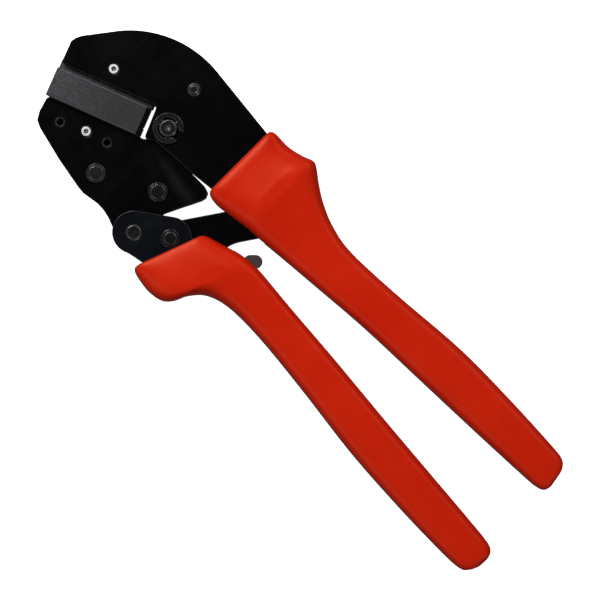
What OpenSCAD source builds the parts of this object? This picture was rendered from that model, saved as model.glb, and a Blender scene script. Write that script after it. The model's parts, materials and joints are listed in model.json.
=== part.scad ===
// Ratchet crimping pliers: two-plate frame, moving jaw, toggle link, ratchet and slip-on grips.
// Drawn around the main pivot. +X runs from the jaws to the handle ends, +Y to the fixed
// handle's side, +Z to the front face. seat() then puts the origin under the tool's middle.

/* [Plates] */
// Thickness of each steel plate
plate_t = 2.5; // [2.3:0.1:2.6]
// Gap between the two jaw plates
core_gap = 5.2; // [5:0.1:5.4]
// Side play between a jaw plate and the frame plate beside it
plate_slip = 0.2; // [0.15:0.05:0.3]

/* [Pivots] */
// Diameter of the main pivot pin
main_pin_d = 6; // [5.4:0.1:6.4]
// Diameter of the pin through the jaw and the moving handle
jaw_pin_d = 5.2; // [4.8:0.1:5.4]
// Diameter of the pin through the moving handle and the toggle link
link_pin_d = 5; // [4.6:0.1:5.2]
// Diameter of the pin that anchors the toggle link in the frame
anchor_pin_d = 6; // [5.4:0.1:6.4]
// Radial clearance of a running pivot
run_fit = 0.05; // [0.03:0.01:0.08]
// Radial clearance of a pin held fast in its plate
hold_fit = 0.02; // [0.02:0.01:0.04]
// Radial play of the jaw on its handle pin
jaw_play = 0.65; // [0.6:0.05:0.8]

/* [Dies] */
// Tilt of the die pocket against the handle direction
die_angle = 21; // [20:0.5:22]
// Length of the die pair along the pocket
die_len = 34; // [32:0.5:34.5]
// Height of the closed die pair between frame plate and jaw plate
die_h = 12.4; // [12:0.1:12.6]
// Diameter of the die screws
die_screw_d = 4; // [3.6:0.1:4.2]
// Diameter of the threaded locator holes in the front jaw plate
locator_d = 3.3; // [2.8:0.1:3.5]

/* [Ratchet] */
// Tip radius of the toothed sector
sector_r = 18; // [17.6:0.1:18.2]
// Number of ratchet teeth
teeth = 12; // [10:1:13]
// Height of each ratchet tooth
tooth_h = 1.1; // [0.8:0.1:1.3]

/* [Grips] */
// Thickness of the grips at their thickest place
grip_t = 22; // [21.4:0.2:22.4]
// Space between a grip's pocket and the plates inside it
pocket_fit = 0.15; // [0.1:0.05:0.2]

/* [Hidden] */

black_steel = "#1b1c1e";
pin_steel = "#2b2c2f";
bright_steel = "#b9bbbe";
die_steel = "#4a4c50";
grip_red = "#cf2a12";

fine = 64;
small = 32;
eps = 0.1;

// Middle of the tool's box, measured from the main pivot
box_mid = [69.8, -8.6];

// Half-gaps and faces of the plate stack
core_z = core_gap / 2;
jaw_face_z = core_z + plate_t;
frame_in_z = jaw_face_z + plate_slip;
frame_face_z = frame_in_z + plate_t;
core_t = core_gap - 0.2;

// Pivot points of the closed tool
jaw_pivot = [17, -34];
link_pivot = [27.5, -26.5];
anchor_pivot = [49.5, 6];
bar_dir = atan2(anchor_pivot.y - link_pivot.y, anchor_pivot.x - link_pivot.x);
bar_r = 5.6;

// Return spring: pin on the link's tail and pin in the frame
tail_pin = [49.5, 13.5];
spring_pin = [29.5, 16.5];
spring_pin_r = 1.5;

// Rivets through frame, jaw, sector and handle plates
nose_rivet_at = [-3.2, 15.9];
frame_rivet_at = [[76, 6.3], [134, 8.9]];
jaw_rivet_at = [[-7, -28.8], [12.9, -18.2]];
handle_rivet_at = [[80, -22.6], [136, -27.6]];
sector_rivet_r = 11;
sector_rivet_turn = [-38, -68];
rivet_r = 2;
nose_rivet_r = 2.15;
jaw_rivet_r = 2.4;
jaw_rivet_head = 3.3;
spacer_r = 3.3;
proud = 0.5;

// Pawl: pivot, nose, lever and the post that its spring pulls on
pawl_turn = 15;
pawl_reach = 24.5;
pawl_pivot = link_pivot + pawl_reach * [cos(pawl_turn), sin(pawl_turn)];
pawl_pin_r = 1.5;
pawl_hub_r = 3.5;
nose_gap = 0.25;
lever_tip = [53.4, -12];
pawl_hook = pawl_pivot + [6, -1];
pawl_post = [69, -22.4];

// Die pocket corner at the nose, and the pocket's own axes
die_corner = [-42.3, -10.2];
pocket_len = 36.4;
pocket_end = 36.9;
die_drop = 1.7;
die_face_z = frame_face_z + 0.5;
upper_screw_at = [17.5, 5.5];
lower_screw_at = [17.3, -18.1];
locator_at = [[7.6, -18.8], [25.4, -18.7]];

// Arc of points round a centre
function arc(c, r, a0, a1, n) =
    [for (i = [0:n]) let (a = a0 + (a1 - a0) * i / n) c + r * [cos(a), sin(a)]];

// Point in the die pocket's axes, as a point of the tool
function pocket(p, q) =
    die_corner + p * [cos(die_angle), sin(die_angle)] + q * [-sin(die_angle), cos(die_angle)];

module seat() {
    translate([-box_mid.x, -box_mid.y, grip_t / 2]) children();
}

module at(p, z = 0) {
    translate([p.x, p.y, z]) children();
}

module die_axes() {
    at(die_corner) rotate([0, 0, die_angle]) children();
}

// Straight round bar between two heights
module rod(p, r, z0, z1) {
    at(p, z0) cylinder(r = r, h = z1 - z0, $fn = fine);
}

// Round bar with a chamfer at both ends
module pin(p, r, half, bevel = 0.3) {
    at(p) rotate_extrude($fn = fine) polygon([
        [0, -half], [r - bevel, -half], [r, bevel - half],
        [r, half - bevel], [r - bevel, half], [0, half]
    ]);
}

module tube(p, r_out, r_in, half) {
    at(p, -half) difference() {
        cylinder(r = r_out, h = 2 * half, $fn = fine);
        translate([0, 0, -eps]) cylinder(r = r_in, h = 2 * half + 2 * eps, $fn = fine);
    }
}

// Plate made from an outline, from height z up
module sheet(z) {
    translate([0, 0, z]) linear_extrude(plate_t) children();
}

module drill(p, r) {
    rod(p, r, -grip_t, grip_t);
}

// Rounds an outline's outer corners by r_out and its inner corners by r_in
module soften(r_out, r_in) {
    offset(r = r_out, $fn = small)
        offset(r = -r_out - r_in, $fn = small)
            offset(r = r_in, $fn = small) children();
}

/* Outlines of the plates */

module frame_outline() {
    crown_c = [-5.9, -13];
    crown_r = 39.1;
    soften(1.2, 1.5) polygon(concat(
        [pocket(0, 0), [-45.3, -2.4], [-44.9, -0.3], [-43.9, 1.6]],
        arc(crown_c, crown_r, 140, 84, 20),
        [[25.6, 23], [28.5, 21.2], [36, 20.6], [44, 18.8], [54, 15.5], [62, 12.2], [70, 10.8], [100, 11.6]],
        [[150, 13.4], [153, 11], [153, 7.5], [150, 5.4], [98, 3.6], [68, 1.1], [44, -0.6], [31, -2.4]],
        [[28, -2.6], [25.8, -4.1], [17, -5.1], [0, -6.2], pocket(pocket_end, -die_h), pocket(pocket_len, 0)]
    ));
}

module jaw_outline() {
    soften(1.2, 1.5) union() {
        polygon([
            pocket(0, -die_h), pocket(pocket_end, -die_h), [-1, -4], [3.8, 3.8], [16.5, -5.3],
            [22.7, -5.3], [25.2, -6.1], [26, -8], [25.5, -9.8], [22, -16.8], [19.4, -22.2],
            [19, -27.5], [22, -31], jaw_pivot, [10.8, -38.2], [7, -36.7], [3.8, -36], [0.9, -35.9],
            [-2.1, -36.4], [-5.2, -36.9], [-8.2, -36.6], [-20, -34.4], [-31.8, -31.5], [-34.6, -30.2],
            [-36.2, -27.4]
        ]);
        circle(r = 5.4, $fn = fine);
        translate(jaw_pivot) circle(r = 6.2, $fn = fine);
    }
}

// Tension bar from the moving handle to the frame, with the lobe that carries the sector
module link_outline() {
    flare_c = [23.5, -19.1];
    flare_r = 13.5;
    lobe_r = 15.5;
    lobe_turn = -86;
    translate(link_pivot) rotate(bar_dir) {
        polygon(concat([[0, 0]], arc([0, 0], lobe_r, lobe_turn, 0, 24)));
        circle(r = bar_r, $fn = fine);
        difference() {
            translate([6, -14]) square([flare_c.x - 6, 14]);
            translate(flare_c) circle(r = flare_r, $fn = fine);
        }
        square_bar(norm(anchor_pivot - link_pivot));
    }
    translate(anchor_pivot) circle(r = bar_r, $fn = fine);
    hull() {
        translate(anchor_pivot) circle(r = 4, $fn = small);
        translate(tail_pin) circle(r = 2.8, $fn = small);
    }
}

module square_bar(len) {
    translate([0, -bar_r]) square([len, 2 * bar_r]);
}

// Toothed fan: symmetrical teeth, then a smooth run up to the bar
module sector_outline() {
    first = -86;
    pitch = 4;
    root_r = sector_r - tooth_h;
    last = first + teeth * pitch;
    rim = [for (i = [0:teeth - 1], k = [0, 1]) (k == 0 ? sector_r : root_r)
        * [cos(first + (i + k / 2) * pitch), sin(first + (i + k / 2) * pitch)]];
    translate(link_pivot) rotate(bar_dir) {
        polygon(concat([[0, 0]], rim, arc([0, 0], root_r, last, -20, 8)));
        circle(r = bar_r, $fn = fine);
    }
}

module handle_outline() {
    soften(1, 2) union() {
        hull() {
            for (p = [jaw_pivot, link_pivot]) translate(p) circle(r = 7.5, $fn = fine);
        }
        polygon([
            [17.5, -41.1], [26.8, -39.3], [29.5, -37.8], [38, -35.8], [44, -32.6], [50, -28.4], [60, -26],
            [70, -25.6], [100, -28], [148, -32], [151, -30], [151, -27.5], [148, -25.6], [100, -20.7],
            [70, -18.1], [50, -17.2], [40, -20], [33, -21], [27.5, -20]
        ]);
    }
}

module pawl_outline() {
    nose_half = 1.3;
    nose_len = pawl_reach - sector_r - nose_gap;
    translate(pawl_pivot) circle(r = pawl_hub_r, $fn = fine);
    neck = nose_len - 1.2;
    translate(pawl_pivot) rotate(pawl_turn + 180)
        polygon([[0, -pawl_hub_r], [neck, -nose_half], [nose_len, 0], [neck, nose_half], [0, pawl_hub_r]]);
    hull() {
        translate(pawl_pivot) circle(r = 2.6, $fn = small);
        translate(pawl_hook) circle(r = 1.8, $fn = small);
    }
    hull() {
        translate(pawl_pivot) circle(r = 2.4, $fn = small);
        translate(lever_tip) circle(r = 1.9, $fn = small);
    }
    hull() for (side = [-1, 1])
        translate(lever_tip + side * 0.9 * [cos(45), sin(45)]) circle(r = 2.4, $fn = small);
}

/* Fixed frame */

module fixed_plate(z) {
    difference() {
        sheet(z) frame_outline();
        drill([0, 0], main_pin_d / 2 + hold_fit);
        drill(anchor_pivot, anchor_pin_d / 2 + hold_fit);
        drill(nose_rivet_at, nose_rivet_r + hold_fit);
        drill(spring_pin, spring_pin_r + hold_fit);
        drill(pocket(upper_screw_at.x, upper_screw_at.y), die_screw_d / 2 + hold_fit);
        for (p = frame_rivet_at) drill(p, rivet_r + hold_fit);
    }
}

module fixed_plate_front() {
    color(black_steel) seat() fixed_plate(frame_in_z);
}

module fixed_plate_back() {
    color(black_steel) seat() fixed_plate(-frame_face_z);
}

module frame_spacers() {
    color(pin_steel) seat() {
        tube(nose_rivet_at, spacer_r, nose_rivet_r + hold_fit, frame_in_z);
        for (p = frame_rivet_at) tube(p, spacer_r, rivet_r + hold_fit, frame_in_z);
    }
}

module frame_rivets() {
    color(pin_steel) seat() for (p = frame_rivet_at) pin(p, rivet_r, frame_face_z);
}

// Rivet with a small raised disc on each end
module nose_rivet() {
    color(pin_steel) seat() {
        pin(nose_rivet_at, nose_rivet_r, frame_face_z + 0.1, 0.2);
        pin(nose_rivet_at, 1.3, frame_face_z + 0.3, 0.1);
    }
}

// Pin with a groove near each end for its clips
clip_t = 0.9;
clip_gap = 0.05;
groove_r = main_pin_d / 2 - 0.7;
module main_pivot_pin() {
    pin_half = frame_face_z + 1.8;
    color(pin_steel) seat() difference() {
        pin([0, 0], main_pin_d / 2, pin_half, 0.4);
        for (side = [-1, 1]) {
            translate([0, 0, side * (frame_face_z + clip_gap + clip_t / 2)]) difference() {
                cylinder(r = main_pin_d, h = clip_t + 0.1, center = true, $fn = fine);
                cylinder(r = groove_r, h = 2, center = true, $fn = fine);
            }
            translate([0, 0, side * pin_half]) sphere(r = 0.9, $fn = small);
        }
    }
}

// E-shaped clips: a ring with three inward tongues and a mouth
module pivot_clips() {
    ring_in = 3.7;
    ring_out = 5.35;
    mouth_turn = 9;
    module clip() {
        rotate([0, 0, mouth_turn]) difference() {
            union() {
                difference() {
                    cylinder(r = ring_out, h = clip_t, center = true, $fn = fine);
                    cylinder(r = ring_in, h = 2, center = true, $fn = fine);
                }
                for (a = [55, 180, 305]) rotate([0, 0, a]) translate([groove_r + 1, 0, 0])
                    cube([2.2, 1.9, clip_t], center = true);
            }
            cylinder(r = groove_r + hold_fit, h = 2, center = true, $fn = fine);
            translate([ring_out, 0, 0]) cube([2 * ring_in, 3.6, 2], center = true);
        }
    }
    color(pin_steel) seat() for (side = [-1, 1])
        translate([0, 0, side * (frame_face_z + clip_gap + clip_t / 2)]) clip();
}

module link_anchor_pin() {
    color(pin_steel) seat() pin(anchor_pivot, anchor_pin_d / 2, frame_face_z);
}

module spring_anchor_pin() {
    color(pin_steel) seat() pin(spring_pin, spring_pin_r, frame_face_z);
}

/* Dies: the upper one carries the nests and the front stop wall, the lower one the anvils */

nest_at = [6.5, 16, 27];
nest_w = [3.6, 4.6, 6];
nest_h = [2.6, 3, 3.6];
part_q = -8.6;
wall_z = frame_in_z;
die_start = -0.5;
wall_q = 0.15 - die_h;
tang_gap = 0.05;

module upper_die() {
    tang = [9, 17, 11.5];
    shoulder = [-0.4, 35.2, die_drop + 1.6];
    heel = 0.7;
    color(die_steel) seat() difference() {
        die_axes() {
            for (part = [tang, shoulder]) translate([part.x, -die_drop, tang_gap - frame_in_z])
                cube([part.y, part.z, 2 * (frame_in_z - tang_gap)]);
            translate([die_start, part_q, -die_face_z])
                cube([die_len + heel, -die_drop - part_q, die_face_z + wall_z]);
            translate([die_start, wall_q, wall_z]) cube([die_len, -die_drop - wall_q, die_face_z - wall_z]);
        }
        die_axes() for (i = [0:2]) nest(nest_at[i], nest_w[i], nest_h[i]);
        die_axes() for (edge = [[-die_drop, 1], [-die_drop, -1], [wall_q, 1], [part_q, -1]])
            translate([die_start + die_len / 2, edge[0], edge[1] * die_face_z]) bevel_bar(die_len + 2);
        drill(pocket(upper_screw_at.x, upper_screw_at.y), die_screw_d / 2 + hold_fit);
    }
}

// Bar on its edge, for cutting a small chamfer along X
module bevel_bar(len) {
    side = 0.6;
    rotate([45, 0, 0]) cube([len, side, side], center = true);
}

// Double-arched nest, open below and at the back, closed by the stop wall
module nest(p, w, h) {
    lobe_r = w / 4;
    translate([p, part_q, -die_face_z - eps]) linear_extrude(die_face_z + wall_z + eps) {
        polygon([[-w / 2 - 0.5, -eps], [w / 2 + 0.5, -eps], [w / 2, h - lobe_r], [-w / 2, h - lobe_r]]);
        for (side = [-1, 1]) translate([side * lobe_r, h - lobe_r]) circle(r = lobe_r, $fn = small);
    }
}

module lower_die() {
    bed_q = part_q - 0.25;
    bed_bottom = -die_h + 0.1;
    tang_top = bed_bottom + eps;
    back_z = -die_face_z;
    front_z = wall_z - 0.25;
    tang_q = -22.5;
    color(die_steel) seat() difference() {
        die_axes() {
            translate([11, tang_q, -core_t / 2]) cube([12, tang_top - tang_q, core_t]);
            translate([0, bed_bottom, back_z]) cube([die_len + 0.3, bed_q - bed_bottom, front_z - back_z]);
            for (i = [0:2]) translate([nest_at[i], bed_q, back_z]) linear_extrude(front_z - back_z)
                polygon([
                    [-nest_w[i] / 2 - 0.1, -eps], [nest_w[i] / 2 + 0.1, -eps],
                    [nest_w[i] / 2 - 0.7, nest_h[i] / 2], [0.7 - nest_w[i] / 2, nest_h[i] / 2]
                ]);
        }
        drill(pocket(lower_screw_at.x, lower_screw_at.y), die_screw_d / 2 + hold_fit);
    }
}

// Cap screw from the back, its chamfered and dimpled end showing at the front
module die_screw(p, face_z) {
    head_r = 3.5;
    head_h = 2.3;
    socket_r = 1.45;
    end_z = face_z + 0.25;
    chamfer = 0.35;
    body_r = die_screw_d / 2;
    difference() {
        union() {
            rod(p, body_r, -face_z - eps, end_z - chamfer);
            at(p, end_z - chamfer) cylinder(r1 = body_r, r2 = body_r - chamfer, h = chamfer, $fn = fine);
            rod(p, head_r, -face_z - head_h, -face_z);
        }
        at(p, -face_z - head_h - eps) cylinder(r = socket_r, h = 1.6, $fn = 6);
        at(p, end_z - 0.5) cylinder(r1 = 0.2, r2 = 0.95, h = 0.6, $fn = small);
    }
}

module upper_die_screw() {
    color(bright_steel) seat() die_screw(pocket(upper_screw_at.x, upper_screw_at.y), frame_face_z);
}

module lower_die_screw() {
    color(bright_steel) seat() die_screw(pocket(lower_screw_at.x, lower_screw_at.y), jaw_face_z);
}

/* Moving jaw */

module jaw_plate(z) {
    difference() {
        sheet(z) jaw_outline();
        drill([0, 0], main_pin_d / 2 + run_fit);
        drill(jaw_pivot, jaw_pin_d / 2 + jaw_play);
        for (p = jaw_rivet_at) drill(p, jaw_rivet_r + hold_fit);
        drill(pocket(lower_screw_at.x, lower_screw_at.y), die_screw_d / 2 + hold_fit);
    }
}

// The front plate alone is tapped for the terminal locator
module jaw_plate_front() {
    color(black_steel) seat() difference() {
        jaw_plate(core_z);
        for (p = locator_at) drill(pocket(p.x, p.y), locator_d / 2);
    }
}

module jaw_plate_back() {
    color(black_steel) seat() jaw_plate(-jaw_face_z);
}

module jaw_spacers() {
    color(pin_steel) seat() for (p = jaw_rivet_at) tube(p, 4.2, jaw_rivet_r + hold_fit, core_z);
}

// Rivets with a flat head on each face and a smaller raised disc on the head
module jaw_rivets() {
    color(pin_steel) seat() for (p = jaw_rivet_at) {
        rod(p, jaw_rivet_r, -jaw_face_z - eps, jaw_face_z + eps);
        for (side = [0, 180]) at(p) rotate([side, 0, 0]) {
            translate([0, 0, jaw_face_z]) cylinder(r = jaw_rivet_head, h = proud, $fn = fine);
            translate([0, 0, jaw_face_z]) cylinder(r = jaw_rivet_r, h = proud + 0.3, $fn = fine);
        }
    }
}

/* Toggle link with its ratchet sector */

sector_rivet_at = [for (a = sector_rivet_turn)
    link_pivot + sector_rivet_r * [cos(bar_dir + a), sin(bar_dir + a)]];

module link_holes(pivot_fit) {
    drill(link_pivot, link_pin_d / 2 + pivot_fit);
    for (p = sector_rivet_at) drill(p, rivet_r + hold_fit);
}

module link_plate(z) {
    difference() {
        sheet(z) link_outline();
        link_holes(run_fit);
        drill(anchor_pivot, anchor_pin_d / 2 + run_fit);
        drill(tail_pin, spring_pin_r + hold_fit);
    }
}

module link_plate_front() {
    color(black_steel) seat() link_plate(core_z);
}

module link_plate_back() {
    color(black_steel) seat() link_plate(-jaw_face_z);
}

module ratchet_sector() {
    color(pin_steel) seat() difference() {
        linear_extrude(core_t, center = true) sector_outline();
        link_holes(run_fit);
    }
}

module sector_rivets() {
    color(pin_steel) seat() for (p = sector_rivet_at) pin(p, rivet_r, jaw_face_z, 0.2);
}

module link_spring_pin() {
    color(pin_steel) seat() pin(tail_pin, spring_pin_r, jaw_face_z, 0.2);
}

/* Moving handle */

module handle_plate(z) {
    difference() {
        sheet(z) handle_outline();
        drill(jaw_pivot, jaw_pin_d / 2 + hold_fit);
        drill(link_pivot, link_pin_d / 2 + hold_fit);
        drill(pawl_pivot, pawl_pin_r + hold_fit);
        drill(pawl_post, pawl_pin_r + hold_fit);
        for (p = handle_rivet_at) drill(p, rivet_r + hold_fit);
    }
}

module handle_plate_front() {
    color(black_steel) seat() handle_plate(frame_in_z);
}

module handle_plate_back() {
    color(black_steel) seat() handle_plate(-frame_face_z);
}

module handle_spacers() {
    color(pin_steel) seat() for (p = handle_rivet_at) tube(p, spacer_r, rivet_r + hold_fit, frame_in_z);
}

module handle_rivets() {
    color(pin_steel) seat() for (p = handle_rivet_at) pin(p, rivet_r, frame_face_z);
}

module jaw_pin() {
    color(pin_steel) seat() pin(jaw_pivot, jaw_pin_d / 2, frame_face_z + 0.3);
}

// Headed pin: a wide thin head on each face with a smaller disc on it
module link_pin() {
    color(pin_steel) seat() {
        pin(link_pivot, link_pin_d / 2, frame_face_z + eps, 0.05);
        for (side = [0, 180]) at(link_pivot) rotate([side, 0, 0]) {
            translate([0, 0, frame_face_z]) cylinder(r = 3.15, h = proud, $fn = fine);
            translate([0, 0, frame_face_z]) cylinder(r = 2.1, h = proud + 0.3, $fn = fine);
        }
    }
}

module pawl_pin() {
    color(pin_steel) seat() pin(pawl_pivot, pawl_pin_r, frame_face_z);
}

module pawl_spring_post() {
    color(pin_steel) seat() pin(pawl_post, pawl_pin_r, frame_face_z);
}

// Pawl with its lever; the tail is slotted round a small post that takes the spring's loop
module ratchet_pawl() {
    pawl_t = core_t - 0.2;
    color("#5a4c46") seat() {
        difference() {
            linear_extrude(pawl_t, center = true) pawl_outline();
            drill(pawl_pivot, pawl_pin_r + run_fit);
            at(pawl_hook, -0.7) cylinder(r = 2.5, h = 1.4, $fn = fine);
        }
        at(pawl_hook, -pawl_t / 2) cylinder(r = 1.4, h = pawl_t, $fn = fine);
    }
}

/* Springs: a close coil between two end loops */

// Ring of points round a coil's wire at turn angle a and height z
function wire_ring(coil_r, wire_r, a, z, sides) =
    [for (k = [0:sides - 1]) let (b = 360 * k / sides, r = coil_r + wire_r * cos(b))
        [r * cos(a), r * sin(a), z + wire_r * sin(b)]];

// Helical wire standing on the XY plane, as one closed polyhedron
module coil(coil_r, wire_r, turns, pitch) {
    sides = 6;
    steps = 12 * turns;
    pts = [for (i = [0:steps]) each wire_ring(coil_r, wire_r, 30 * i, pitch * i / 12, sides)];
    walls = [for (i = [0:steps - 1], k = [0:sides - 1])
        let (a = i * sides + k, b = i * sides + (k + 1) % sides) [a, b, b + sides, a + sides]];
    start = [for (k = [0:sides - 1]) sides - 1 - k];
    end = [for (k = [0:sides - 1]) steps * sides + k];
    polyhedron(pts, concat([start], walls, [end]));
}

module tension_spring(a, b, coil_r, wire_r, loop_r) {
    span = norm(b - a);
    pitch = 2.3 * wire_r;
    turns = floor((span - 4 * loop_r - 2 * wire_r) / pitch);
    at(a) rotate([0, 0, atan2(b.y - a.y, b.x - a.x)]) {
        for (x = [0, span]) translate([x, 0, 0]) rotate_extrude($fn = small)
            translate([loop_r, 0]) circle(r = wire_r, $fn = 16);
        translate([(span - turns * pitch) / 2, 0, 0]) rotate([0, 90, 0]) coil(coil_r, wire_r, turns, pitch);
        for (end = [0, 1]) translate([end * span, 0, 0]) rotate([0, end * 180, 0])
            translate([loop_r, 0, 0]) rotate([0, 90, 0])
                cylinder(r = wire_r, h = (span - turns * pitch) / 2 - loop_r + wire_r, $fn = 16);
    }
}

module return_spring() {
    color(bright_steel) seat() tension_spring(spring_pin, tail_pin, 2.2, 0.45, spring_pin_r + 0.5);
}

module pawl_spring() {
    color(bright_steel) seat() tension_spring(pawl_hook, pawl_post, 1.5, 0.3, pawl_pin_r + 0.35);
}

/* Grips: sleeves lofted through stations, hollowed for the plates and slotted for the link */

// Stations of a grip: inner-edge point, outer-edge point, half thickness, and how round the section is
// along its inner and its outer edge (1 an ellipse, 0 a rectangle)
upper_stations = [
    [25.5, -4.7, 25.5, 23.5, 8.5, 0.17, 0.17], [25.8, -5.5, 25.8, 24.3, 9, 0.2, 0.2],
    [26.6, -6.2, 26.6, 24.9, 9.5, 0.25, 0.25], [28.2, -6.8, 28.2, 25.2, 9.85, 0.32, 0.32],
    [31, -7.1, 31, 25.1, 10.05, 0.42, 0.42],
    [34.5, -6.7, 34.5, 25.2, 10.3, 0.46, 0.46], [39.5, -6, 39.5, 26.4, 10.7, 0.48, 0.48],
    [43.5, -5.4, 43.5, 27.8, 11.1, 0.48, 0.48], [46, -5.2, 46, 26.9, 11.1, 0.48, 0.48],
    [50.5, -4.9, 50.5, 23.5, 10.4, 0.48, 0.48], [56.5, -4.3, 56.5, 19.8, 9.8, 0.5, 0.5],
    [64.5, -3.6, 64.5, 16.5, 9.4, 0.52, 0.52], [75.5, -2.7, 75.5, 14.6, 9.3, 0.52, 0.52],
    [97.5, -1, 97.5, 15.5, 9.4, 0.52, 0.52], [126.5, 0, 126.5, 17.7, 9.5, 0.52, 0.52],
    [152.5, 0.9, 152.5, 17.4, 9.3, 0.52, 0.52], [173, 1.8, 173, 16.4, 9, 0.5, 0.5],
    [178.8, 2.3, 178, 15.7, 8.7, 0.46, 0.46], [181.3, 3.4, 180.1, 14, 8, 0.42, 0.42],
    [182.1, 5.3, 180.9, 12.3, 6.4, 0.4, 0.4]
];
lower_stations = [
    [34.1, -19.3, 26.1, -40.6, 8.5, 0.17, 0.17], [34.3, -18.5, 25.9, -41.8, 9, 0.2, 0.2],
    [34.9, -17.7, 26.1, -42.9, 9.5, 0.25, 0.27], [36.2, -16.9, 27.5, -43.9, 9.9, 0.32, 0.36],
    [38.4, -16.2, 30.6, -44.7, 10.3, 0.4, 0.48],
    [42.6, -14.9, 35.2, -45.2, 10.7, 0.42, 0.56], [46.5, -13.7, 40.3, -44.3, 11, 0.44, 0.62],
    [49.8, -13, 43.4, -41.5, 11.1, 0.44, 0.66], [53.2, -12.7, 45.9, -36.5, 10.9, 0.44, 0.66],
    [57.5, -12.6, 50.8, -31.7, 10.4, 0.46, 0.64], [63.5, -13.1, 59.5, -29.3, 9.9, 0.48, 0.6],
    [74.5, -14.1, 74.5, -29.4, 9.5, 0.5, 0.56], [97.5, -15.9, 97.5, -31.7, 9.5, 0.52, 0.54],
    [124.5, -18.4, 124.5, -35.1, 9.5, 0.52, 0.54], [149.5, -20.5, 149.5, -36.7, 9.3, 0.52, 0.52],
    [171, -22.3, 171, -37.2, 9, 0.5, 0.5], [180.4, -23.3, 179.8, -36.7, 8.7, 0.46, 0.46],
    [183.3, -24.7, 182.5, -34.7, 7.9, 0.42, 0.42], [184.2, -26.8, 184, -31.8, 6.4, 0.4, 0.4]
];
// Where the ridge of the upper grip's collar bows towards the jaws, by how much and over what length
ridge_x = 45.5;
ridge_bow = 2.6;
ridge_reach = 16;

// Smooth value between the middle two of four values
function blend(a, b, c, d, t) =
    0.5 * (2 * b + (c - a) * t + (2 * a - 5 * b + 4 * c - d) * t * t + (3 * b - a - 3 * c + d) * t * t * t);

function clamp_index(i, n) = max(0, min(n, i));

// Station list with an extra station between each pair
function densify(s) = let (n = len(s) - 1) [
    for (i = [0:n - 1], t = [0, 0.5])
        blend(s[clamp_index(i - 1, n)], s[i], s[i + 1], s[clamp_index(i + 2, n)], t),
    s[n]
];

function signed_pow(v, p) = sign(v) * pow(abs(v), p);

// Shift of a grip's point along X for the bowed ridge; w runs from -1 at the inner edge to 1 at the outer
function ridge_shift(x, w, bow) =
    let (near = max(0, 1 - pow((x - ridge_x) / ridge_reach, 2))) -bow * (1 - w * w) * near * near;

// Rounded-rectangle ring at one station
function grip_ring(s, sides, bow) =
    let (mid = [s[0] + s[2], s[1] + s[3]] / 2, half = [s[2] - s[0], s[3] - s[1]] / 2)
    [for (k = [0:sides - 1])
        let (b = 360 * (k + 0.5) / sides, round = cos(b) < 0 ? s[5] : s[6], w = signed_pow(cos(b), round))
        let (x = mid.x + half.x * w)
            [x + ridge_shift(x, w, bow), mid.y + half.y * w, s[4] * signed_pow(sin(b), round)]];

module grip_body(stations, bow = 0, sides = 28) {
    rings = densify(stations);
    n = len(rings) - 1;
    pts = [for (s = rings) each grip_ring(s, sides, bow)];
    walls = [for (i = [0:n - 1], k = [0:sides - 1])
        let (a = i * sides + k, b = i * sides + (k + 1) % sides)
            each [[a, b + sides, b], [a, a + sides, b + sides]]];
    start = [for (k = [0:sides - 1]) k];
    end = [for (k = [0:sides - 1]) n * sides + sides - 1 - k];
    intersection() {
        polyhedron(pts, concat([start], walls, [end]));
        translate([70, 0, 0]) cube([300, 200, grip_t], center = true);
    }
}

// Space that a bar sweeps as it turns about a point
module bar_sweep(p, from, to, len) {
    width = 2 * bar_r + 1.2;
    for (a = [from:6:to]) translate(p) rotate(a) translate([0, -width / 2]) square([len, width]);
}

// Room inside a grip for the two plates of that outline and what lies between them
module plate_room() {
    linear_extrude(2 * (frame_face_z + pocket_fit), center = true) offset(delta = pocket_fit) children();
}

module upper_grip() {
    link_swing = 12;
    color(grip_red) seat() difference() {
        grip_body(upper_stations, ridge_bow);
        plate_room() frame_outline();
        linear_extrude(2 * frame_in_z, center = true) {
            bar_sweep(anchor_pivot, bar_dir + 180, bar_dir + 180 + link_swing, 30);
            translate([20, -9]) square([24, 10]);
        }
    }
}

module lower_grip() {
    color(grip_red) seat() difference() {
        grip_body(lower_stations);
        plate_room() handle_outline();
        linear_extrude(2 * frame_in_z, center = true) {
            polygon(concat([link_pivot], arc(link_pivot, sector_r + 0.8, -36, 104, 28)));
            translate(link_pivot) circle(r = bar_r + 0.6, $fn = fine);
            translate([24, -22]) square([22, 14]);
        }
        linear_extrude(core_t + 0.6, center = true)
            polygon([[46, -18], [47.5, -8], [61, -8], [59.5, -18]]);
    }
}

fixed_plate_front();
fixed_plate_back();
frame_spacers();
frame_rivets();
nose_rivet();
main_pivot_pin();
pivot_clips();
upper_die();
upper_die_screw();
link_anchor_pin();
spring_anchor_pin();
return_spring();
upper_grip();
jaw_plate_front();
jaw_plate_back();
jaw_spacers();
jaw_rivets();
lower_die();
lower_die_screw();
link_plate_front();
link_plate_back();
ratchet_sector();
sector_rivets();
link_spring_pin();
handle_plate_front();
handle_plate_back();
handle_spacers();
handle_rivets();
jaw_pin();
link_pin();
pawl_pin();
ratchet_pawl();
pawl_spring();
pawl_spring_post();
lower_grip();
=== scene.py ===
import json
import math

import bmesh
import bpy
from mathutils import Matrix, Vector
from mathutils.geometry import delaunay_2d_cdt


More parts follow.
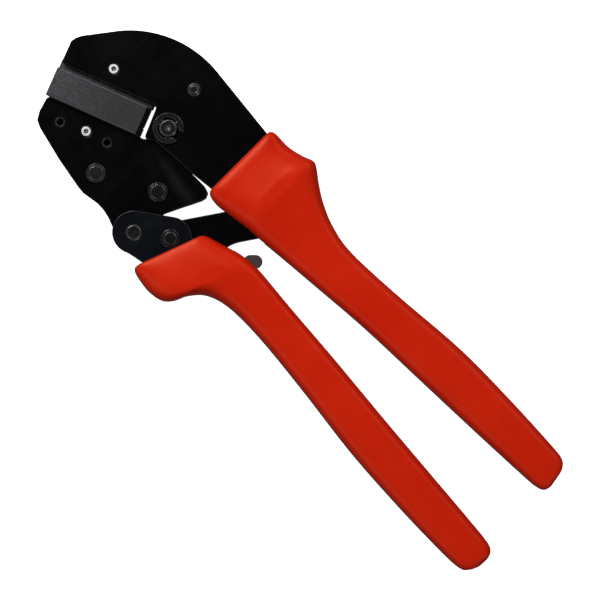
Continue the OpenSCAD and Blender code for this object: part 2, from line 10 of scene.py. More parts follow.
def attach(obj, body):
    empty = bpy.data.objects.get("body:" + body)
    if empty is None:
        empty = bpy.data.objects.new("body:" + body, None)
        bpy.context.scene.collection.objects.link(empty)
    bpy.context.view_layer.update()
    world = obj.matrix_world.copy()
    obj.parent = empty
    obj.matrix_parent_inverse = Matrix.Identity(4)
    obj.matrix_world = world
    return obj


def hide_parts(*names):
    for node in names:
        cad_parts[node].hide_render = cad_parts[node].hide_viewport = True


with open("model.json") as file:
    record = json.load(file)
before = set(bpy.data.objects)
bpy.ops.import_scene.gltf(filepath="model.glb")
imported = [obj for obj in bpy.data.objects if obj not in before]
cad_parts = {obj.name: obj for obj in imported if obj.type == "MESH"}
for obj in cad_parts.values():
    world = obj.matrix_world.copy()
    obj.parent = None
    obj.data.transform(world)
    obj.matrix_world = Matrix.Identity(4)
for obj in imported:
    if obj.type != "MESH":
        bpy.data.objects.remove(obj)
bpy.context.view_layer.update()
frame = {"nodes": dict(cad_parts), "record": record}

MM = 0.001
# Design point (the main pivot, mid-plane) to the row frame, in mm
TO_ROW = (-69.8, 8.6, 11.0)
# Front corner of the dies' pocket in the jaw, and how far the dies are turned from the X axis, in degrees
DIE_CORNER = (-42.3, -10.2)
DIE_TURN = 21
BODY_OF = {n: b for b, ns in frame["record"]["behaviour"]["bodies"].items() for n in ns}
SLOT_OF = {s["node"]: s["material_slot"] for s in frame["record"]["subparts"]}


def row(x, y, z=0.0):
    """A design point in mm as a place in the row frame, in metres."""
    return Vector(((x + TO_ROW[0]) * MM, (y + TO_ROW[1]) * MM, (z + TO_ROW[2]) * MM))


# ---------------------------------------------------------------- mesh helper

def finish_mesh(name, bm):
    """A new object from the mesh under work, which is freed."""
    mesh = bpy.data.meshes.new(name)
    bm.to_mesh(mesh)
    bm.free()
    obj = bpy.data.objects.new(name, mesh)
    bpy.context.scene.collection.objects.link(obj)
    return obj


# ---------------------------------------------------------------- camera, lights and floor

def make_camera():
    """A long lens straight above, turned so that the tool lies across the picture as in the photograph."""
    data = bpy.data.cameras.new("camera")
    data.lens = 154.3
    data.sensor_width = 36
    data.clip_start = 0.05
    data.clip_end = 20
    cam = bpy.data.objects.new("camera", data)
    bpy.context.scene.collection.objects.link(cam)
    cam.location = (0.00465, -0.0012, 0.911)
    cam.rotation_euler = (0, 0, math.radians(45))
    bpy.context.scene.camera = cam


def area_light(name, place, size, power):
    """A white soft box that points at the middle of the floor."""
    data = bpy.data.lights.new(name, "AREA")
    data.shape = "RECTANGLE"
    data.size, data.size_y = size
    data.energy = power
    light = bpy.data.objects.new(name, data)
    bpy.context.scene.collection.objects.link(light)
    light.location = place
    light.rotation_euler = (-Vector(place)).to_track_quat("-Z", "Y").to_euler()


def make_stage():
    """Dim white world, four soft boxes and a white floor that doesn't light or mirror in the object."""
    world = bpy.data.worlds.new("studio")
    world.use_nodes = True
    back = world.node_tree.nodes["Background"]
    back.inputs["Color"].default_value = (1, 1, 1, 1)
    back.inputs["Strength"].default_value = 0.08
    bpy.context.scene.world = world
    area_light("key", (-0.62, 0.14, 0.78), (0.5, 0.5), 9.9)
    area_light("fill_top", (0, 0.95, 0.5), (0.8, 0.4), 2.2)
    area_light("fill_side", (-0.1, -0.85, 0.7), (0.8, 0.5), 2)
    area_light("fill_end", (0.95, 0, 0.6), (0.5, 0.8), 1.5)

    bm = bmesh.new()
    bmesh.ops.create_grid(bm, x_segments=4, y_segments=4, size=2.5)
    floor = finish_mesh("floor", bm)
    floor.location.z = -0.0004
    mat = bpy.data.materials.new("floor_white")
    mat.use_nodes = True
    shader = mat.node_tree.nodes["Principled BSDF"]
    shader.inputs["Base Color"].default_value = (0.93, 0.93, 0.93, 1)
    shader.inputs["Roughness"].default_value = 0.9
    shader.inputs["Specular IOR Level"].default_value = 0.1
    shader.inputs["Emission Color"].default_value = (1, 1, 1, 1)
    shader.inputs["Emission Strength"].default_value = 1.05
    floor.data.materials.append(mat)
    floor.visible_glossy = False
    floor.visible_diffuse = False


# ---------------------------------------------------------------- materials

class Nodes:
    """A material's node tree, built in short calls."""

    def __init__(self, name):
        self.mat = bpy.data.materials.new(name)
        self.mat.use_nodes = True
        self.tree = self.mat.node_tree
        self.shader = self.tree.nodes["Principled BSDF"]
        self.coord = self.tree.nodes.new("ShaderNodeTexCoord").outputs["Object"]

    def axis(self, vector, index):
        """One part of a vector: X, Y or Z."""
        node = self.tree.nodes.new("ShaderNodeSeparateXYZ")
        self.link(vector, node.inputs["Vector"])
        return node.outputs[index]

    def placed(self, origin, turn):
        """Object coordinates measured from a point of the row frame, turned about Z by turn degrees."""
        node = self.tree.nodes.new("ShaderNodeMapping")
        node.vector_type = "TEXTURE"
        node.inputs["Location"].default_value = origin
        node.inputs["Rotation"].default_value = (0, 0, math.radians(turn))
        self.link(self.coord, node.inputs["Vector"])
        return node.outputs["Vector"]

    def link(self, a, b):
        """Join output a to input b."""
        self.tree.links.new(a, b)
        return b

    def set(self, **values):
        """Uniform values of the shader's own sockets."""
        for key, value in values.items():
            self.shader.inputs[key.replace("_", " ")].default_value = value

    def stretched(self, scale, turn=0.0):
        """Object coordinates scaled along each axis, for drawn-out grain."""
        node = self.tree.nodes.new("ShaderNodeMapping")
        node.inputs["Scale"].default_value = scale
        node.inputs["Rotation"].default_value = (0, 0, math.radians(turn))
        self.link(self.coord, node.inputs["Vector"])
        return node.outputs["Vector"]

    def noise(self, scale, detail=3.0, rough=0.55, vector=None):
        node = self.tree.nodes.new("ShaderNodeTexNoise")
        node.inputs["Scale"].default_value = scale
        node.inputs["Detail"].default_value = detail
        node.inputs["Roughness"].default_value = rough
        self.link(vector or self.coord, node.inputs["Vector"])
        return node.outputs["Fac"]

    def span(self, value, low, high, to_low=0.0, to_high=1.0):
        """The value's range low..high mapped to to_low..to_high, and held at both ends."""
        node = self.tree.nodes.new("ShaderNodeMapRange")
        node.inputs["From Min"].default_value = low
        node.inputs["From Max"].default_value = high
        node.inputs["To Min"].default_value = to_low
        node.inputs["To Max"].default_value = to_high
        self.link(value, node.inputs["Value"])
        return node.outputs["Result"]

    def mix(self, factor, a, b):
        """Colour a at factor 0 and b at factor 1; each is an output or three numbers."""
        node = self.tree.nodes.new("ShaderNodeMix")
        node.data_type = "RGBA"
        self.link(factor, node.inputs["Factor"])
        for socket, value in ((node.inputs[6], a), (node.inputs[7], b)):
            if isinstance(value, tuple):
                socket.default_value = (*value, 1)
            else:
                self.link(value, socket)
        return node.outputs[2]

    def math(self, kind, a, b):
        node = self.tree.nodes.new("ShaderNodeMath")
        node.operation = kind
        for socket, value in ((node.inputs[0], a), (node.inputs[1], b)):
            if isinstance(value, (int, float)):
                socket.default_value = value
            else:
                self.link(value, socket)
        return node.outputs[0]

    def bump(self, height, strength, distance, under=None):
        node = self.tree.nodes.new("ShaderNodeBump")
        node.inputs["Strength"].default_value = strength
        node.inputs["Distance"].default_value = distance
        self.link(height, node.inputs["Height"])
        if under is not None:
            self.link(under, node.inputs["Normal"])
        return node.outputs["Normal"]

    def edges(self):
        """1 on rounded and chamfered edges, 0 on flat faces and upright walls."""
        normal = self.tree.nodes.new("ShaderNodeNewGeometry").outputs["Normal"]
        slope = self.math("ABSOLUTE", self.axis(normal, "Z"), 0)
        return self.math("MULTIPLY", self.span(slope, 0.985, 0.93), self.span(slope, 0.1, 0.35))

    def out(self, color=None, roughness=None, normal=None, metallic=None):
        """Join what varies over the surface to the shader, and give back the material."""
        for socket, value in (("Base Color", color), ("Roughness", roughness), ("Normal", normal),
                              ("Metallic", metallic)):
            if value is not None:
                self.link(value, self.shader.inputs[socket])
        return self.mat


def blackened(name, dark, light, rough, level=0.05, painted_sheen_mask=None, worn=0.045):
    """Black oxide steel: cloudy tone, fine grain, scratches, and edges worn to grey metal."""
    m = Nodes(name)
    cloud = m.noise(90, 4, 0.6)
    grain = m.noise(2600, 3, 0.7)
    scratch = m.noise(900, 2, 0.5, m.stretched((1, 0.03, 1), 38))
    color = m.mix(m.span(cloud, 0.35, 0.7), dark, light)
    if painted_sheen_mask is not None:
        # Painted highlight: where a band mask is given, the plate is lightened along it as a soft sheen.
        color = m.mix(painted_sheen_mask(m, grain), color, (0.008, 0.008, 0.009))
    edge = m.math("MULTIPLY", m.edges(), m.span(m.noise(420, 3, 0.6), 0.3, 0.55, 0.4, 1))
    color = m.mix(edge, color, (worn, worn, worn * 1.04))
    roughness = m.span(m.math("ADD", m.math("MULTIPLY", cloud, 0.6), m.math("MULTIPLY", scratch, 0.4)),
                       0.35, 0.65, rough - 0.06, rough + 0.08)
    roughness = m.math("MULTIPLY", roughness, m.span(edge, 0, 1, 1, 0.6))
    normal = m.bump(grain, 0.12, 0.00004, m.bump(cloud, 0.05, 0.0002))
    m.set(Specular_IOR_Level=level)
    return m.out(color, roughness, normal, m.span(edge, 0, 1, 0, 0.9))


def tail_painted_sheen(m, grain):
    """Soft painted-highlight band on the jaw's tail, beside the frame plate's lower edge; 0 where there is
    none.
    """
    band = m.placed(row(0, -8.5), -10)
    along, across = m.axis(band, "X"), m.axis(band, "Y")
    reach = m.math("MULTIPLY", m.span(along, 0, 0.016), m.span(along, 0.029, 0.02))
    width = m.span(along, 0, 0.02, 0.001, 0.0036)
    off_middle = m.math("DIVIDE", m.math("ABSOLUTE", across, 0), width)
    middle = m.math("SUBTRACT", 1, m.math("MINIMUM", 1, off_middle))
    return m.math("MULTIPLY", m.math("MULTIPLY", reach, middle), m.span(grain, 0.2, 0.8, 0.75, 1))


def parkerized(name):
    """Phosphated die steel: speckled grey with bare glints, and painted shade darkening it away from the
    nose.
    """
    m = Nodes(name)
    speck = m.noise(2200, 4, 0.75)
    fine = m.noise(3600, 2, 0.7)
    cloud = m.noise(160, 4, 0.6)
    base = m.mix(m.span(cloud, 0.3, 0.7), (0.020, 0.021, 0.0245), (0.032, 0.033, 0.037))
    color = m.mix(m.span(speck, 0.42, 0.62), base, (0.007, 0.0075, 0.009))
    color = m.mix(m.span(fine, 0.56, 0.7), color, (0.12, 0.124, 0.135))
    # Painted shade: darker with distance from the die's nose, where the light falls off.
    shade_distance_from_nose = m.axis(m.placed(row(*DIE_CORNER), DIE_TURN), "X")
    color = m.mix(m.span(shade_distance_from_nose, 0.001, 0.022, 0, 0.75), color, (0.003, 0.003, 0.004))
    roughness = m.span(speck, 0.3, 0.7, 0.5, 0.72)
    edge = m.edges()
    color = m.mix(edge, color, (0.13, 0.134, 0.145))
    normal = m.bump(speck, 0.35, 0.00006)
    m.set(Specular_IOR_Level=0.5)
    return m.out(color, roughness, normal, m.span(edge, 0, 1, 0.35, 0.8))


def bright(name, color, rough):
    """Plated or ground steel with turning marks, and painted shade darkening its grooves and edges."""
    m = Nodes(name)
    turned = m.noise(300, 2, 0.6, m.stretched((1, 1, 0.05)))
    cloud = m.noise(220, 3, 0.6)
    tone_and_painted_shade = m.mix(m.span(cloud, 0.3, 0.7), tuple(c * 0.85 for c in color), color)
    roughness = m.span(turned, 0.3, 0.7, rough - 0.03, rough + 0.06)
    # Painted shade: chamfered and sloped faces, such as the dimple in a screw's end, darkened to 12 % of the
    # colour.
    tone_and_painted_shade = m.mix(m.edges(), tone_and_painted_shade, tuple(c * 0.12 for c in color))
    m.set(Metallic=1.0)
    return m.out(tone_and_painted_shade, roughness, m.bump(turned, 0.03, 0.00002))


def moulded(name):
    """Glossy moulded plastic with a faint orange-peel surface."""
    m = Nodes(name)
    cloud = m.noise(45, 3, 0.55)
    grain = m.noise(5200, 2, 0.6)
    wave = m.noise(260, 2, 0.5)
    color = m.mix(m.span(cloud, 0.3, 0.7), (0.50, 0.0125, 0.0022), (0.55, 0.016, 0.003))
    roughness = m.span(m.math("ADD", m.math("MULTIPLY", grain, 0.5), m.math("MULTIPLY", cloud, 0.5)),
                       0.35, 0.65, 0.27, 0.35)
    normal = m.bump(grain, 0.1, 0.00004, m.bump(wave, 0.06, 0.0002))
    m.set(Specular_IOR_Level=0.2, Specular_Tint=(1, 0.5, 0.28, 1))
    return m.out(color, roughness, normal)


PLATE_DARK, PLATE_LIGHT = (0.0007, 0.0007, 0.0010), (0.0013, 0.0013, 0.0017)
plate_black = blackened("plate_black", PLATE_DARK, PLATE_LIGHT, 0.3, 0.035)
# The jaw's front plate, with a painted highlight band on its tail.
plate_painted_sheen = blackened("plate_painted_sheen", PLATE_DARK, PLATE_LIGHT, 0.3, 0.035, tail_painted_sheen)
plate_blue = blackened("plate_blue", (0.0022, 0.0028, 0.0040), (0.0036, 0.0044, 0.0060), 0.32, worn=0.07)
pin_black = blackened("pin_black", (0.0020, 0.0023, 0.0025), (0.0042, 0.0047, 0.0049), 0.28, 0.2, worn=0.2)
thread_steel = blackened("thread_worn", (0.02, 0.02, 0.021), (0.045, 0.045, 0.047), 0.4, 0.3, worn=0.16)
# Plates that aren't plate_black, and the material of each other slot
PLATE_LOOK = {"jaw_plate_front": plate_painted_sheen, "handle_plate_front": plate_blue,
              "handle_plate_back": plate_blue}
MATERIAL_OF = {
    "blackened_pin": pin_black,
    "die_steel": parkerized("die_grey"),
    "bright_screw": bright("zinc_bright", (0.56, 0.56, 0.57), 0.4),
    "spring_steel": bright("spring_wire", (0.4, 0.4, 0.41), 0.3),
    "sector_steel": bright("sector_ground", (0.2, 0.2, 0.21), 0.4),
    "pawl_steel": blackened("pawl_brown", (0.030, 0.024, 0.021), (0.055, 0.045, 0.040), 0.5, 0.15),
    "grip": moulded("grip_red"),
}


# ---------------------------------------------------------------- CAD nodes

# Width of the broken edges of each slot's nodes, in mm
BEVEL_OF = {"blackened_pin": 0.14, "die_steel": 0.04, "bright_screw": 0.08, "sector_steel": 0.1,
            "pawl_steel": 0.15}


def dress(name, obj):
    """A CAD node's material, and its broken edges or, on a spring, a rounder wire."""
    slot = SLOT_OF[name]
    obj.data.materials.clear()
    obj.data.materials.append(MATERIAL_OF[slot])
    weld = obj.modifiers.new("weld", "WELD")
    weld.merge_threshold = 2e-6
    if slot == "spring_steel":
        smooth = obj.modifiers.new("smooth", "SUBSURF")
        smooth.levels = smooth.render_levels = 1
        return
    flat = obj.modifiers.new("flat", "DECIMATE")
    flat.decimate_type = "DISSOLVE"
    flat.angle_limit = math.radians(0.4)
    bevel = obj.modifiers.new("bevel", "BEVEL")
    bevel.width = BEVEL_OF[slot] * MM
    bevel.segments = 2
    bevel.limit_method = "ANGLE"
    bevel.angle_limit = math.radians(32)
    bevel.use_clamp_overlap = False
    normal = obj.modifiers.new("normal", "WEIGHTED_NORMAL")
    normal.weight = 80


# ---------------------------------------------------------------- plates

# Rings of a plate's rounded edge: (share of the rounding inward, share of it down from the face)
EDGE_RINGS = ((1.0, 0.0), (0.62, 0.07), (0.29, 0.29), (0.07, 0.62), (0.0, 1.0))
EDGE_ROUND = 0.24 * MM
# Heights this close are the same, in metres
LEVEL = 1e-6


def face_loops(bm, top):
    """Closed loops round the faces at height top, with the metal always on the left.

    Slivers that have no normal count too. Faces are taken in their own order, and a loop starts at its
    leftmost corner, so every run gives the same plate.
    """
    flat = [f for f in bm.faces if all(abs(v.co.z - top) < LEVEL for v in f.verts)]
    step = {}
    for face in flat:
        for loop in face.loops:
            if not any(f in flat for f in loop.edge.link_faces if f is not face):
                step[loop.vert] = loop.link_loop_next.vert
    loops = []
    while step:
        vert = min(step, key=lambda v: v.co.xy[:])
        points = []
        while vert in step:
            points.append(vert.co.xy)
            vert = step.pop(vert)
        loops.append(points)
    return loops


def tidy_loop(points, gap=0.06 * MM):
    """The loop without points closer than gap or on a straight line between their neighbours."""
    kept = [points[0]]
    for p in points[1:]:
        if (p - kept[-1]).length > gap:
            kept.append(p)
    if (kept[0] - kept[-1]).length < gap:
        kept.pop()
    n = len(kept)
    return [kept[k] for k in range(n)
            if abs((kept[k] - kept[k - 1]).angle_signed(kept[(k + 1) % n] - kept[k])) > 0.001]


def inset(points, by):
    """The loop moved into the metal on its left, with mitred corners."""
    n = len(points)
    moved = []
    for k in range(n):
        a = (points[k] - points[k - 1]).normalized()
        b = (points[(k + 1) % n] - points[k]).normalized()
        m = Vector((-a.y - b.y, a.x + b.x)).normalized()
        moved.append(points[k] + m * (by / max(0.5, m.dot(Vector((-a.y, a.x))))))
    return moved


def inside(p, loops):
    """Whether the point is in the metal: a line from it crosses the loops an odd number of times."""
    odd = False
    for points in loops:
        for a, b in zip(points, points[1:] + points[:1]):
            if (a.y > p.y) != (b.y > p.y) and p.x < a.x + (p.y - a.y) / (b.y - a.y) * (b.x - a.x):
                odd = not odd
    return odd


def make_plate(node, obj):
    """A plate again from its CAD outline, with a rounded edge on both faces."""
    source = bmesh.new()
    source.from_mesh(obj.data)
    source.transform(obj.matrix_world)
    bmesh.ops.remove_doubles(source, verts=source.verts, dist=LEVEL)
    heights = [v.co.z for v in source.verts]
    bottom, top = min(heights), max(heights)
    loops = [tidy_loop(points) for points in face_loops(source, top)]
    source.free()

    rims = [inset(points, EDGE_ROUND) for points in loops]
    corners, edges = [], []
    for points in rims:
        first, n = len(corners), len(points)
        edges += [(first + k, first + (k + 1) % n) for k in range(n)]
        corners += points
    spots, _, tris, _, _, _ = delaunay_2d_cdt(corners, edges, [], 0, 1e-9)
    tris = [t for t in tris if inside(sum((spots[i] for i in t), Vector((0, 0))) / 3, rims)]

    bm = bmesh.new()
    for z, flip in ((top, False), (bottom, True)):
        verts = [bm.verts.new((p.x, p.y, z)) for p in spots]
        for t in tris:
            bm.faces.new([verts[i] for i in (reversed(t) if flip else t)])
    for points in loops:
        n = len(points)
        levels = [(inset(points, EDGE_ROUND * share), top - EDGE_ROUND * drop) for share, drop in EDGE_RINGS]
        levels += [(inset(points, EDGE_ROUND * share), bottom + EDGE_ROUND * drop)
                   for share, drop in reversed(EDGE_RINGS)]
        rings = [[bm.verts.new((p.x, p.y, z)) for p in level] for level, z in levels]
        for a, b in zip(rings, rings[1:]):
            for k in range(n):
                j = (k + 1) % n
                bm.faces.new((a[k], b[k], b[j], a[j]))
    bmesh.ops.remove_doubles(bm, verts=bm.verts, dist=2e-8)
    plate = finish_mesh(node + "_rounded", bm)
    plate.data.shade_smooth()
    plate.data.materials.append(PLATE_LOOK.get(node, plate_black))
    normal = plate.modifiers.new("normal", "WEIGHTED_NORMAL")
    normal.weight = 80
    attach(plate, BODY_OF[node])
    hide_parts(node)


# ---------------------------------------------------------------- threads of the locator holes

# Middles of the locator holes, along and across the dies from their corner
LOCATOR_HOLES = ((7.6, -18.8), (25.4, -18.7))


def make_thread(name, x, y, body, radius=1.64, crest=1.2, front=5.08, turns=3, pitch=0.5, sides=48):
    """Thread turns lining a tapped hole, with a countersunk start at the plate's front face."""
    bm = bmesh.new()
    sunk = front - 0.45
    profile = [(radius, front), (crest, sunk)]
    for turn in range(turns):
        z = front - 0.5 - turn * pitch
        profile += [(crest, z), (radius, z - pitch / 2), (crest, z - pitch * 0.92)]
    rings = []
    for r, z in profile:
        fall = pitch * 0.5 if z < sunk else 0
        rings.append([bm.verts.new(row(x + r * math.cos(2 * math.pi * k / sides),
                                       y + r * math.sin(2 * math.pi * k / sides), z - fall * k / sides))
                      for k in range(sides)])
    for a, b in zip(rings, rings[1:]):
        for k in range(sides):
            j = (k + 1) % sides
            bm.faces.new((a[k], a[j], b[j], b[k]))
    thread = finish_mesh(name, bm)
    thread.data.shade_smooth()
    thread.data.materials.append(thread_steel)
    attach(thread, body)


# ---------------------------------------------------------------- grips

# Stations of each grip, in design mm: inner-edge point, outer-edge point, half thickness, and how round
# the section is along its inner and outer edge (1 an ellipse, 0 a rectangle)
UPPER_STATIONS = [
    (25.5, -4.7, 25.5, 23.5, 8.5, 0.17, 0.17), (25.8, -5.5, 25.8, 24.3, 9, 0.2, 0.2),
    (26.6, -6.2, 26.6, 24.9, 9.5, 0.25, 0.25), (28.2, -6.8, 28.2, 25.2, 9.85, 0.32, 0.32),
    (31, -7.1, 31, 25.1, 10.05, 0.42, 0.42),
    (34.5, -6.7, 34.5, 25.2, 10.3, 0.46, 0.46), (39.5, -6, 39.5, 26.4, 10.7, 0.48, 0.48),
    (43.5, -5.4, 43.5, 27.8, 11.1, 0.48, 0.48), (46, -5.2, 46, 26.9, 11.1, 0.48, 0.48),
    (50.5, -4.9, 50.5, 23.5, 10.4, 0.48, 0.48), (56.5, -4.3, 56.5, 19.8, 9.8, 0.5, 0.5),
    (64.5, -3.6, 64.5, 16.5, 9.4, 0.52, 0.52), (75.5, -2.7, 75.5, 14.6, 9.3, 0.52, 0.52),
    (97.5, -1, 97.5, 15.5, 9.4, 0.52, 0.52), (126.5, 0, 126.5, 17.7, 9.5, 0.52, 0.52),
    (152.5, 0.9, 152.5, 17.4, 9.3, 0.52, 0.52), (173, 1.8, 173, 16.4, 9, 0.5, 0.5),
    (178.8, 2.3, 178, 15.7, 8.7, 0.46, 0.46), (181.3, 3.4, 180.1, 14, 8, 0.42, 0.42),
    (182.1, 5.3, 180.9, 12.3, 6.4, 0.4, 0.4),
]
LOWER_STATIONS = [
    (34.1, -19.3, 26.1, -40.6, 8.5, 0.17, 0.17), (34.3, -18.5, 25.9, -41.8, 9, 0.2, 0.2),
    (34.9, -17.7, 26.1, -42.9, 9.5, 0.25, 0.27), (36.2, -16.9, 27.5, -43.9, 9.9, 0.32, 0.36),
    (38.4, -16.2, 30.6, -44.7, 10.3, 0.4, 0.48),
    (42.6, -14.9, 35.2, -45.2, 10.7, 0.42, 0.56), (46.5, -13.7, 40.3, -44.3, 11, 0.44, 0.62),
    (49.8, -13, 43.4, -41.5, 11.1, 0.44, 0.66), (53.2, -12.7, 45.9, -36.5, 10.9, 0.44, 0.66),
    (57.5, -12.6, 50.8, -31.7, 10.4, 0.46, 0.64), (63.5, -13.1, 59.5, -29.3, 9.9, 0.48, 0.6),
    (74.5, -14.1, 74.5, -29.4, 9.5, 0.5, 0.56), (97.5, -15.9, 97.5, -31.7, 9.5, 0.52, 0.54),
    (124.5, -18.4, 124.5, -35.1, 9.5, 0.52, 0.54), (149.5, -20.5, 149.5, -36.7, 9.3, 0.52, 0.52),
    (171, -22.3, 171, -37.2, 9, 0.5, 0.5), (180.4, -23.3, 179.8, -36.7, 8.7, 0.46, 0.46),
    (183.3, -24.7, 182.5, -34.7, 7.9, 0.42, 0.42), (184.2, -26.8, 184, -31.8, 6.4, 0.4, 0.4),
]
# The upper grip's collar ridge: its place along the grip, how far it bows, and the stretch that bows with it
RIDGE_X, RIDGE_BOW, RIDGE_REACH = 45.5, 2.6, 16
# Handle parts of the plate outlines, which the grips' pockets follow
FRAME_TAIL = [(10, 24.4), (25.6, 23), (28.5, 21.2), (36, 20.6), (44, 18.8), (54, 15.5), (62, 12.2),
              (70, 10.8), (100, 11.6), (150, 13.4), (153, 11), (153, 7.5), (150, 5.4), (98, 3.6), (68, 1.1),
              (44, -0.6), (31, -2.4), (28, -2.6), (25.8, -4.1), (17, -5.1), (10, -5.6)]
HANDLE_TAIL = [(20, -40.7), (26.8, -39.3), (29.5, -37.8), (38, -35.8), (44, -32.6), (50, -28.4), (60, -26),
               (70, -25.6), (100, -28), (148, -32), (151, -30), (151, -27.5), (148, -25.6), (100, -20.7),
               (70, -18.1), (50, -17.2), (40, -20), (33, -21), (20, -21.5)]
JAW_PIVOT = (17, -34)
LINK_PIVOT = (27.5, -26.5)
ANCHOR_PIVOT = (49.5, 6)
# Half heights of the pockets: for the handle's plates, for what moves between them, and for the spring
PLATE_Z, CORE_Z, SPRING_Z = 7.8, 5.3, 2.8
FIT = 0.15
HANDLE_DISC_R = 7.5
SECTOR_R = 18.8
# The ratchet bar: half width of its slot, the slot's reach, and its turn from closed to open in degrees
BAR_HALF, BAR_REACH, BAR_SWING = 6.2, 30, 12
# The grips are no thicker than the tool's own half thickness
GRIP_Z_MAX = 11


def spline(s, i, t):
    """Catmull-Rom station at share t of the way from station i to the next."""
    n = len(s) - 1
    a, b, c, d = (s[max(0, min(n, k))] for k in (i - 1, i, i + 1, i + 2))
    return [0.5 * (2 * q + (r - p) * t + (2 * p - 5 * q + 4 * r - w) * t * t
                   + (3 * q - p - 3 * r + w) * t ** 3) for p, q, r, w in zip(a, b, c, d)]


def power(v, p):
    """A power that keeps the sign."""
    return math.copysign(abs(v) ** p, v)


def ridge_shift(x, w, bow):
    """How far a point of the section at x moves along the grip, most at its middle (w = 0)."""
    near = max(0, 1 - ((x - RIDGE_X) / RIDGE_REACH) ** 2)
    return -bow * (1 - w * w) * near * near


def ring(s, sides, bow):
    """One section of a grip: a superellipse between the station's inner-edge and outer-edge points."""
    mid = ((s[0] + s[2]) / 2, (s[1] + s[3]) / 2)
    half = ((s[2] - s[0]) / 2, (s[3] - s[1]) / 2)
    points = []
    for k in range(sides):
        b = 2 * math.pi * (k + 0.5) / sides
        soft = s[5] if math.cos(b) < 0 else s[6]
        w = power(math.cos(b), soft)
        z = s[4] * power(math.sin(b), soft)
        x, y = mid[0] + half[0] * w, mid[1] + half[1] * w
        x += ridge_shift(x, w, bow)
        points.append(row(x, y, max(-GRIP_Z_MAX, min(GRIP_Z_MAX, z))))
    return points


def loft(name, stations, bow=0.0, steps=6, sides=104):
    """A closed skin through the stations."""
    rings = []
    for i in range(len(stations) - 1):
        rings += [ring(spline(stations, i, t / steps), sides, bow) for t in range(steps)]
    rings.append(ring(stations[-1], sides, bow))
    bm = bmesh.new()
    verts = [[bm.verts.new(p) for p in r] for r in rings]
    for a, b in zip(verts, verts[1:]):
        for k in range(sides):
            j = (k + 1) % sides
            bm.faces.new((a[k], a[j], b[j], b[k]))
    bm.faces.new(list(reversed(verts[0])))
    bm.faces.new(verts[-1])
    bmesh.ops.recalc_face_normals(bm, faces=bm.faces)
    return finish_mesh(name, bm)


def prism(points, half):
    """A cutter with this outline, half that height on each side of the mid-plane."""
    bm = bmesh.new()
    low = [bm.verts.new(row(x, y, -half)) for x, y in points]
    high = [bm.verts.new(row(x, y, half)) for x, y in points]
    n = len(points)
    for k in range(n):
        bm.faces.new((low[k], low[(k + 1) % n], high[(k + 1) % n], high[k]))
    bm.faces.new(list(reversed(low)))
    bm.faces.new(high)
    bmesh.ops.recalc_face_normals(bm, faces=bm.faces)
    return finish_mesh("cutter", bm)


def disc(centre, r, count=64, start=0.0, end=360.0):
    """Points of a circle, or of an arc from start to end in degrees."""
    angles = [math.radians(start + (end - start) * k / count) for k in range(count)]
    return [(centre[0] + r * math.cos(a), centre[1] + r * math.sin(a)) for a in angles]


def grown(points, by):
    """Outline moved outward by a distance, with mitred corners."""
    n = len(points)
    turn = sum(p[0] * q[1] - q[0] * p[1] for p, q in zip(points, points[1:] + points[:1]))
    side = 1 if turn > 0 else -1
    moved = []
    for k in range(n):
        p, q, r = (Vector(points[j % n]) for j in (k - 1, k, k + 1))
        a, b = (q - p).normalized(), (r - q).normalized()
        na, nb = Vector((a.y, -a.x)) * side, Vector((b.y, -b.x)) * side
        m = (na + nb).normalized()
        moved.append(tuple(q + m * (by / max(0.3, m.dot(na)))))
    return moved


def cut(obj, cutters):
    """Take the cutters out of the object for good, and delete them."""
    for cutter in cutters:
        mod = obj.modifiers.new("cut", "BOOLEAN")
        mod.operation = "DIFFERENCE"
        mod.solver = "EXACT"
        mod.object = cutter
    graph = bpy.context.evaluated_depsgraph_get()
    mesh = bpy.data.meshes.new_from_object(obj.evaluated_get(graph), depsgraph=graph)
    obj.modifiers.clear()
    old, obj.data = obj.data, mesh
    bpy.data.meshes.remove(old)
    for cutter in cutters:
        bpy.data.objects.remove(cutter)


def soften(obj, width, angle):
    """Smooth shading, and a small round on edges sharper than the angle."""
    obj.data.shade_smooth()
    bevel = obj.modifiers.new("bevel", "BEVEL")
    bevel.width = width * MM
    bevel.segments = 2
    bevel.limit_method = "ANGLE"
    bevel.angle_limit = math.radians(angle)
    bevel.use_clamp_overlap = True
    normal = obj.modifiers.new("normal", "WEIGHTED_NORMAL")
    normal.weight = 60


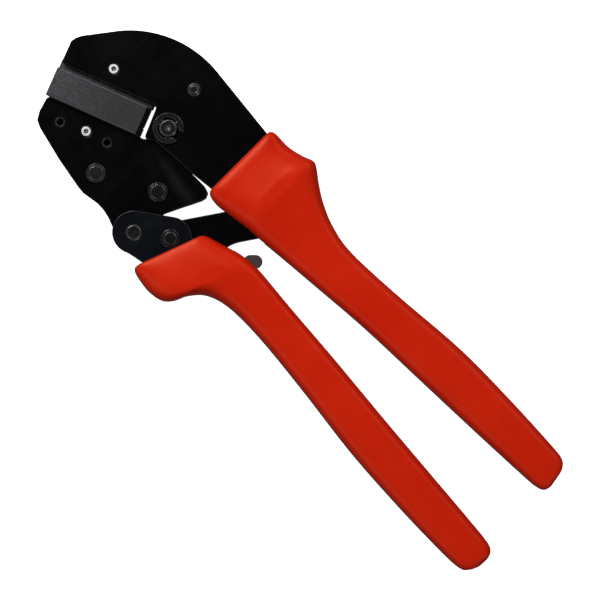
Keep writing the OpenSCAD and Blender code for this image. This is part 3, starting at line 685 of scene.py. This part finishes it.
def make_upper_grip():
    """Red shell round the frame's tail, open where the ratchet bar swings."""
    grip = loft("upper_grip_shell", UPPER_STATIONS, RIDGE_BOW)
    anchor, link = Vector(ANCHOR_PIVOT), Vector(LINK_PIVOT)
    bar_dir = math.atan2(anchor.y - link.y, anchor.x - link.x) + math.pi
    slots = []
    for turn in (0, BAR_SWING):
        a = bar_dir + math.radians(turn)
        along = Vector((math.cos(a), math.sin(a))) * BAR_REACH
        across = Vector((-math.sin(a), math.cos(a))) * BAR_HALF
        slots.append([tuple(p) for p in (anchor - across, anchor + across,
                                         anchor + across + along, anchor - across + along)])
    cut(grip, [prism(grown(FRAME_TAIL, FIT), PLATE_Z + FIT),
               prism(slots[0], CORE_Z), prism(slots[1], CORE_Z),
               prism([(20, -9), (44, -9), (44, 1), (20, 1)], CORE_Z)])
    return grip


def make_lower_grip():
    """Red shell round the handle's plates, open round its pivots, the sector and the spring."""
    grip = loft("lower_grip_shell", LOWER_STATIONS)
    cut(grip, [prism(grown(HANDLE_TAIL, FIT), PLATE_Z + FIT),
               prism(disc(LINK_PIVOT, HANDLE_DISC_R + FIT), PLATE_Z + FIT),
               prism(disc(JAW_PIVOT, HANDLE_DISC_R + FIT), PLATE_Z + FIT),
               prism(disc(LINK_PIVOT, BAR_HALF), CORE_Z),
               prism([LINK_PIVOT] + disc(LINK_PIVOT, SECTOR_R, 48, -36, 104), CORE_Z),
               prism([(24, -22), (46, -22), (46, -8), (24, -8)], CORE_Z),
               prism([(46, -18), (47.5, -8), (61, -8), (59.5, -18)], SPRING_Z)])
    return grip


# ---------------------------------------------------------------- the scene

make_camera()
make_stage()

for node_name, node_obj in frame["nodes"].items():
    if SLOT_OF[node_name] == "blackened_plate":
        make_plate(node_name, node_obj)
    elif SLOT_OF[node_name] != "grip":
        dress(node_name, node_obj)

turn_x, turn_y = math.cos(math.radians(DIE_TURN)), math.sin(math.radians(DIE_TURN))
for count, (p, q) in enumerate(LOCATOR_HOLES, 1):
    make_thread("locator_thread_%d" % count, DIE_CORNER[0] + p * turn_x - q * turn_y,
                DIE_CORNER[1] + p * turn_y + q * turn_x, BODY_OF["jaw_plate_front"])

for maker, node_name in ((make_upper_grip, "upper_grip"), (make_lower_grip, "lower_grip")):
    shell = maker()
    shell.data.materials.clear()
    shell.data.materials.append(MATERIAL_OF["grip"])
    soften(shell, 0.25, 40)
    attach(shell, BODY_OF[node_name])
    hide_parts(node_name)

bpy.context.scene.view_settings.view_transform = "Standard"
